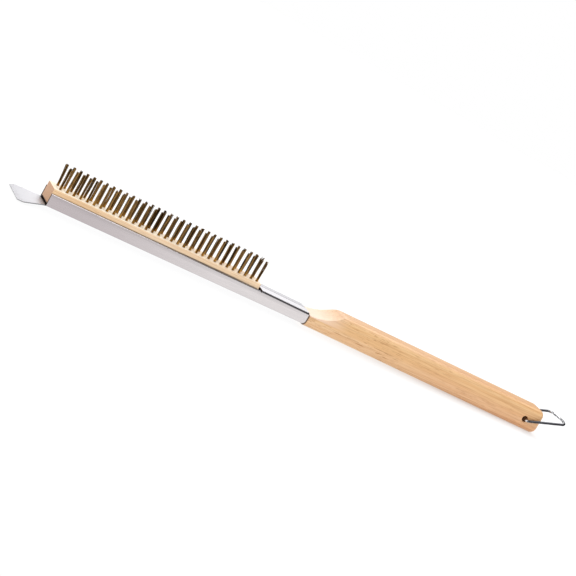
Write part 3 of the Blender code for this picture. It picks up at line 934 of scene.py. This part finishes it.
def wire_spots(count, radius):
    """Evenly filled places in a disc."""
    golden = math.pi * (3 - math.sqrt(5))
    spots = []
    for k in range(count):
        reach = radius * math.sqrt((k + 0.5) / count)
        spots.append((reach * math.cos(k * golden), reach * math.sin(k * golden)))
    return spots


def bristle(x, spot, leans, loose, dice):
    """One wire's points, from its near tip down, across under the block and up to its far tip."""
    low = SHEET + GAP + BUNDLE_RADIUS
    flare = BUNDLE_FLARE / BUNDLE_RADIUS
    drift = BRISTLE_DRIFT * loose
    legs = []
    for side, (lean_x, lean_y) in zip((-1, 1), leans):
        foot_x, foot_y = x + spot[0], side * ROW_HALF_SPACING + spot[1]
        tip_x = x + spot[0] * flare + lean_x + dice.gauss(0, drift)
        tip_y = side * ROW_HALF_SPACING + spot[1] * flare + lean_y + dice.gauss(0, drift)
        bow_x, bow_y = dice.gauss(0, BRISTLE_BOW), dice.gauss(0, BRISTLE_BOW)
        top = TUFT_TOP - BRISTLE_SHORTFALL * loose * dice.random() ** BRISTLE_UNEVENNESS
        leg = [(foot_x, foot_y, low + BUNDLE_RISE)]
        for step in range(BRISTLE_STEPS + 1):
            share = step / BRISTLE_STEPS
            curl, bow = share**BRISTLE_CURL, math.sin(math.pi * share)
            px = foot_x + (tip_x - foot_x) * curl + bow_x * bow
            py = foot_y + (tip_y - foot_y) * curl + bow_y * bow
            leg.append((px, py, BLOCK_TOP + (top - BLOCK_TOP) * share))
        legs.append(leg)
    turn, depth = ROW_HALF_SPACING - BUNDLE_TURN, low + spot[1] * BUNDLE_FLATNESS
    crossing = [(x + spot[0], side * turn, depth) for side in (-1, 1)]
    return legs[0][::-1] + crossing + legs[1]


def bristle_bundle(index, x, dice, material):
    """A bundle of wires that shows as two tufts, each with its own lean."""
    bm = bmesh.new()
    layer = bm.verts.layers.float.new("wire_tone")
    leans = [(dice.gauss(0, BUNDLE_LEAN), dice.gauss(0, BUNDLE_LEAN)) for _ in range(2)]
    if index == 1:
        leans[1] = (-FIRST_TUFT_LEAN, 0.0)
    loose = LAST_TUFT_SPREAD if index == TUFT_COUNT else 1.0
    for spot in wire_spots(WIRES_PER_TUFT, BUNDLE_RADIUS - BRISTLE_RADIUS):
        tone = dice.random()
        points = bristle(x, spot, leans, loose, dice)
        add_wire(bm, points, BRISTLE_RADIUS, BRISTLE_SIDES, tone, layer)
    name = f"bristle_bundle_{index:02d}"
    mesh = mesh_from(bm, name)
    mesh.shade_smooth()
    mesh.set_sharp_from_angle(angle=BRISTLE_SHARP)
    piece(f"brass_wires_{index:02d}", mesh, material, "brush", "brass_wire", name)


# The handle


def along_handle(x, at_shoulder, at_butt):
    """A height on the straight line from the shoulder to the butt."""
    return at_shoulder + (at_butt - at_shoulder) * (x - SLEEVE_END) / (HANDLE_END - SLEEVE_END)


def scoop_line():
    """The scoop's hollow and crest in side view, as (x, z)."""
    centre = (SCOOP_START, CHANNEL_HEIGHT - SHEET - GAP + SCOOP_RADIUS)
    top = along_handle(SCOOP_START + SCOOP_RADIUS / 2, SHOULDER_TOP, BUTT_TOP)
    crest_z = top - CREST_RADIUS
    reach = SCOOP_RADIUS + CREST_RADIUS
    crest_x = centre[0] + math.sqrt(reach**2 - (centre[1] - crest_z) ** 2)
    turn = math.degrees(math.atan2(crest_z - centre[1], crest_x - centre[0]))
    hollow = arc(centre, SCOOP_RADIUS, -90, turn, SCOOP_STEPS)
    return hollow + arc((crest_x, crest_z), CREST_RADIUS, 180 + turn, 90, ROUNDING_STEPS)[1:]


def even_points(line, count):
    """The points that part a polyline into count equal steps."""
    lengths = [math.dist(a, b) for a, b in zip(line, line[1:])]
    total, points = sum(lengths), []
    for i in range(count + 1):
        left = total * i / count
        k = 0
        while k < len(lengths) - 1 and left > lengths[k]:
            left -= lengths[k]
            k += 1
        share = left / lengths[k] if lengths[k] else 0.0
        a, b = line[k], line[k + 1]
        points.append((a[0] + (b[0] - a[0]) * share, a[1] + (b[1] - a[1]) * share))
    return points


def handle_ring(x, half, bottom, top, radius, ceiling):
    """A rounded cross-section at x, cut flat at the ceiling if that is below the top."""
    level = min(ceiling, top)
    spring = top - radius
    side = [(half, bottom + radius), (half, min(level, spring))]
    if level > spring:
        limit = math.degrees(math.asin(min(1.0, (level - spring) / radius)))
        side += arc((half - radius, spring), radius, 0, limit, SIDE_STEPS)[1:]
    shoulder = even_points(side, SIDE_STEPS)
    crown = even_points([shoulder[-1], (0.0, level)], CROWN_STEPS)
    lower = arc((half - radius, bottom + radius), radius, -90, 0, ROUNDING_STEPS)
    right = [(0.0, bottom)] + lower + shoulder[1:] + crown[1:]
    left = [(-y, z) for y, z in reversed(right[1:-1])]
    return [(x, y, z) for y, z in right + left]


def handle(material):
    """Rounded bar with a scooped front, a tongue inside the sleeve and a cross hole in its butt."""
    front = SLEEVE_END + GAP
    tongue_half = CHANNEL_WIDTH / 2 - SHEET - GAP
    floor, ceiling = SHEET + GAP, CHANNEL_HEIGHT - SHEET - 1.5 * GAP

    def tongue(x):
        return handle_ring(x, tongue_half, floor, ceiling, TONGUE_CORNER, ceiling)

    def section(x, level, inset=0.0):
        bottom = along_handle(x, SHOULDER_UNDERSIDE, BUTT_UNDERSIDE) + inset
        top = along_handle(x, SHOULDER_TOP, BUTT_TOP) - inset
        return handle_ring(x, HANDLE_HALF_WIDTH - inset, bottom, top, HANDLE_ROUNDING - inset, level)

    scoop = scoop_line()
    crest, level = scoop[-1][0], scoop[0][1]
    rings = [tongue(TONGUE_START), tongue(front)]
    rings.append(section(front, level - SHOULDER_CHAMFER, SHOULDER_CHAMFER))
    rings.append(section(front + SHOULDER_CHAMFER, level))
    rings += [section(x, z) for x, z in scoop]
    straight = HANDLE_END - BUTT_ROUNDING
    step = (straight - crest) / BODY_STEPS
    rings += [section(crest + step * i, SHOULDER_TOP) for i in range(1, BODY_STEPS + 1)]
    for across, inset in arc((0.0, BUTT_ROUNDING), BUTT_ROUNDING, -90, 0, ROUNDING_STEPS)[1:]:
        rings.append(section(straight + across, SHOULDER_TOP, inset))
    obj = piece("beech_handle", loft(rings, "handle"), material, "brush", "handle_wood", "handle")
    hole = bmesh.new()
    x, z = HANG_HOLE
    add_rod(hole, (x, 0.0, z), HANG_HOLE_RADIUS, 4 * HANDLE_HALF_WIDTH, HANG_HOLE_SIDES, axis="Y")
    cut(obj, mesh_from(hole, "hole"))
    soften(obj, WOOD_EDGE, limit=30, segments=3)


# The hang loop and the screws


def loop_route():
    """Half of the loop with y below 0, as (along, across): bar, bend, leg and half of the bowed end."""
    half, bend = LOOP_HALF_WIDTH, LOOP_BEND
    bar = [(0.0, -LOOP_END_GAP / 2)]
    corner = arc((bend, -half + bend), bend, 180, 270, LOOP_BEND_STEPS)
    quarter = arc((0.0, 0.0), 1.0, 0, 90, LOOP_BOW_STEPS)
    bow = [(LOOP_LEG + LOOP_BOW * s, -half * abs(c) ** LOOP_BOW_FULLNESS) for c, s in quarter]
    return bar + corner + bow


def hang_loop(material):
    """The bent wire, from one end in the cross hole round to the other."""
    near = loop_route()
    route = near + [(along_loop, -across) for along_loop, across in reversed(near[:-1])]
    data = bpy.data.curves.new("hang_loop", "CURVE")
    data.dimensions = "3D"
    data.bevel_depth = LOOP_WIRE_RADIUS * MM
    data.bevel_resolution = LOOP_WIRE_ROUNDING
    data.use_fill_caps = True
    spline = data.splines.new("POLY")
    spline.points.add(len(route) - 1)
    for point, (along_loop, across) in zip(spline.points, route):
        reach = Vector((along_loop * math.cos(LOOP_LIFT), across, along_loop * math.sin(LOOP_LIFT)))
        point.co = (*(HINGE + reach * MM), 1.0)
    spline.use_smooth = True
    piece("bright_wire_loop", data, material, "loop", "plated_wire", "hang_loop")


def screw_profile(reach):
    """Half of a screw's side view as (radius, z): point, cone, shank, head and dome."""
    rim, neck = SCREW_HEAD_RADIUS, -GAP
    edge = neck - SCREW_RIM_DEPTH
    dome_height = SCREW_HEAD_HEIGHT - SCREW_RIM_DEPTH
    shank = [(SCREW_POINT, reach), (SCREW_RADIUS, reach - SCREW_CONE), (SCREW_RADIUS, neck)]
    head = [(rim - SCREW_RIM_BEVEL, neck), (rim, neck - SCREW_RIM_BEVEL), (rim, edge)]
    quarter = arc((0.0, 0.0), 1.0, 0, 90, SCREW_DOME_STEPS)[1:-1]
    dome = [(rim * c**SCREW_DOME_FULLNESS, edge - dome_height * s) for c, s in quarter]
    return shank + head + dome + [(SCREW_POINT, neck - SCREW_HEAD_HEIGHT)]


def screw(name, x, reach, material):
    """A pan-head screw from below, with a domed head and a cross recess."""
    last_turn = 360 - 360 / SCREW_SIDES
    rings = []
    for radius, z in screw_profile(reach):
        circle = arc((0.0, 0.0), radius, 0, last_turn, SCREW_SIDES - 1)
        rings.append([(x + px, py, z) for px, py in circle])
    obj = piece(f"zinc_{name}", loft(rings, name), material, "brush", "screw_steel", name)
    half, side = RECESS_REACH, RECESS_HALF_WIDTH
    cross = [(half, side), (side, side), (side, half)]
    for _ in range(3):
        cross += [(-py, px) for px, py in cross[-3:]]
    crown = -GAP - SCREW_HEAD_HEIGHT
    recess = [[(x + px, py, z) for px, py in cross] for z in (crown - RECESS_PAST, crown + RECESS_DEPTH)]
    cut(obj, loft(recess, "recess"))
    obj.data.shade_smooth()
    obj.data.set_sharp_from_angle(angle=SCREW_SHARP)


# The studio


def table(level):
    """A wide white product table that glows to stay white, and glows least where the butt rests."""
    bm = bmesh.new()
    bmesh.ops.create_circle(bm, cap_ends=True, segments=64, radius=TABLE_RADIUS)
    bmesh.ops.translate(bm, verts=bm.verts, vec=(0.0, 0.0, level))
    obj = new_object("studio_floor", mesh_from(bm, "studio_floor"))
    made, tree, shader = finish("white_table", 0.9)
    place = node(tree, "TexCoord").outputs["Object"]
    away = node(tree, "VectorMath", operation="DISTANCE")
    tree.links.new(place, away.inputs[0])
    away.inputs[1].default_value = row(HANDLE_END, 0, BUTT_UNDERSIDE)
    near, far = TABLE_REACH
    whiteness = spread(tree, away.outputs["Value"], near * MM, far * MM, *TABLE_WHITENESS)
    tree.links.new(whiteness, shader.inputs["Base Color"])
    shader.inputs["Emission Color"].default_value = (*WHITE, 1.0)
    glow = arithmetic(tree, "SUBTRACT", 1.0, product(tree, whiteness, TABLE_LIGHT))
    tree.links.new(glow, shader.inputs["Emission Strength"])
    obj.data.materials.append(made)


def mirrored_room(tree):
    """Gloss sees a pale wall behind, dark past its end, a window at the left and a dark room in front."""
    direction = node(tree, "TexCoord").outputs["Generated"]
    x, y, z = node(tree, "SeparateXYZ", {"Vector": direction}).outputs
    upper_back = mix(tree, spread(tree, x, *BACK_TURNS), BACK_LEFT, BACK_RIGHT)
    back = mix(tree, spread(tree, z, *BACK_RISES), BACK_LOW, upper_back)
    back = mix(tree, spread(tree, x, *BACK_STOPS), back, BACK_END)
    left = mix(tree, spread(tree, x, *WINDOW_FROM), ROOM_LEFT, LEFT_WINDOW)
    front = mix(tree, spread(tree, x, *DARK_FROM), left, ROOM_DARK)
    low = spread(tree, z, *LOW_FRONT_BELOW, 1.0, 0.0)
    ahead = spread(tree, y, *LOW_FRONT_WITHIN, 1.0, 0.0)
    front = mix(tree, product(tree, low, ahead), front, ROOM_FRONT)
    return mix(tree, spread(tree, y, *BACK_FROM), front, back)


def studio_world():
    """White to the camera, soft white light all around, and the mirrored room for gloss."""
    world = bpy.data.worlds.new("studio")
    bpy.context.scene.world = world
    world.use_nodes = True
    tree = world.node_tree
    tree.nodes.clear()
    path = node(tree, "LightPath")
    colour = mix(tree, path.outputs["Is Glossy Ray"], SOFT_AROUND, mirrored_room(tree))
    colour = mix(tree, path.outputs["Is Camera Ray"], colour, WHITE)
    background = node(tree, "Background", {"Color": colour, "Strength": 1.0})
    output = node(tree, "OutputWorld")
    tree.links.new(background.outputs[0], output.inputs["Surface"])


def lamp():
    """A wide soft bank above, behind and a little to the right of the brush, turned to its middle."""
    data = bpy.data.lights.new("bank", "AREA")
    data.shape = "RECTANGLE"
    data.size, data.size_y = LAMP_SIZE
    data.energy = LAMP_POWER
    obj = new_object("bank", data)
    obj.location = LAMP_PLACE
    obj.rotation_mode = "QUATERNION"
    obj.rotation_quaternion = (-LAMP_PLACE).to_track_quat("-Z", "Y")


def camera():
    """A long lens from the near left, rolled so that the brush runs down to the right."""
    data = bpy.data.cameras.new("camera")
    data.lens = CAMERA_LENS
    data.sensor_width = CAMERA_SENSOR
    data.clip_start, data.clip_end = 0.05, 50.0
    obj = new_object("camera", data)
    forward = (CAMERA_AIM - CAMERA_PLACE).normalized()
    level = forward.cross(Vector((0.0, 0.0, 1.0))).normalized()
    upright = level.cross(forward)
    right = level * math.cos(CAMERA_ROLL) + upright * math.sin(CAMERA_ROLL)
    up = upright * math.cos(CAMERA_ROLL) - level * math.sin(CAMERA_ROLL)
    turn = Matrix((right, up, -forward)).transposed()
    obj.matrix_world = Matrix.Translation(CAMERA_PLACE) @ turn.to_4x4()
    bpy.context.scene.camera = obj


def studio():
    """Camera, table, surroundings and lamp."""
    bpy.context.scene.view_settings.view_transform = "Standard"
    camera()
    table(CAD_BOX[0].z)
    studio_world()
    lamp()


def brush():
    """Every visible piece of the brush, on its body."""
    steel_sheet(brushed_steel(), sheared_steel_and_shade())
    bristle_block(block_beech())
    handle(handle_beech())
    hang_loop(plated_wire())
    dice, brass = random.Random(BRISTLE_SEED), brass_wire()
    for number, x in enumerate(tuft_places(), 1):
        bristle_bundle(number, x, dice, brass)
    zinc = screw_steel()
    for number, x in enumerate(BLOCK_SCREWS, 1):
        screw(f"block_screw_{number}", x, BLOCK_SCREW_REACH, zinc)
    for number, x in enumerate(HANDLE_SCREWS, 1):
        screw(f"handle_screw_{number}", x, HANDLE_SCREW_REACH, zinc)


studio()
brush()
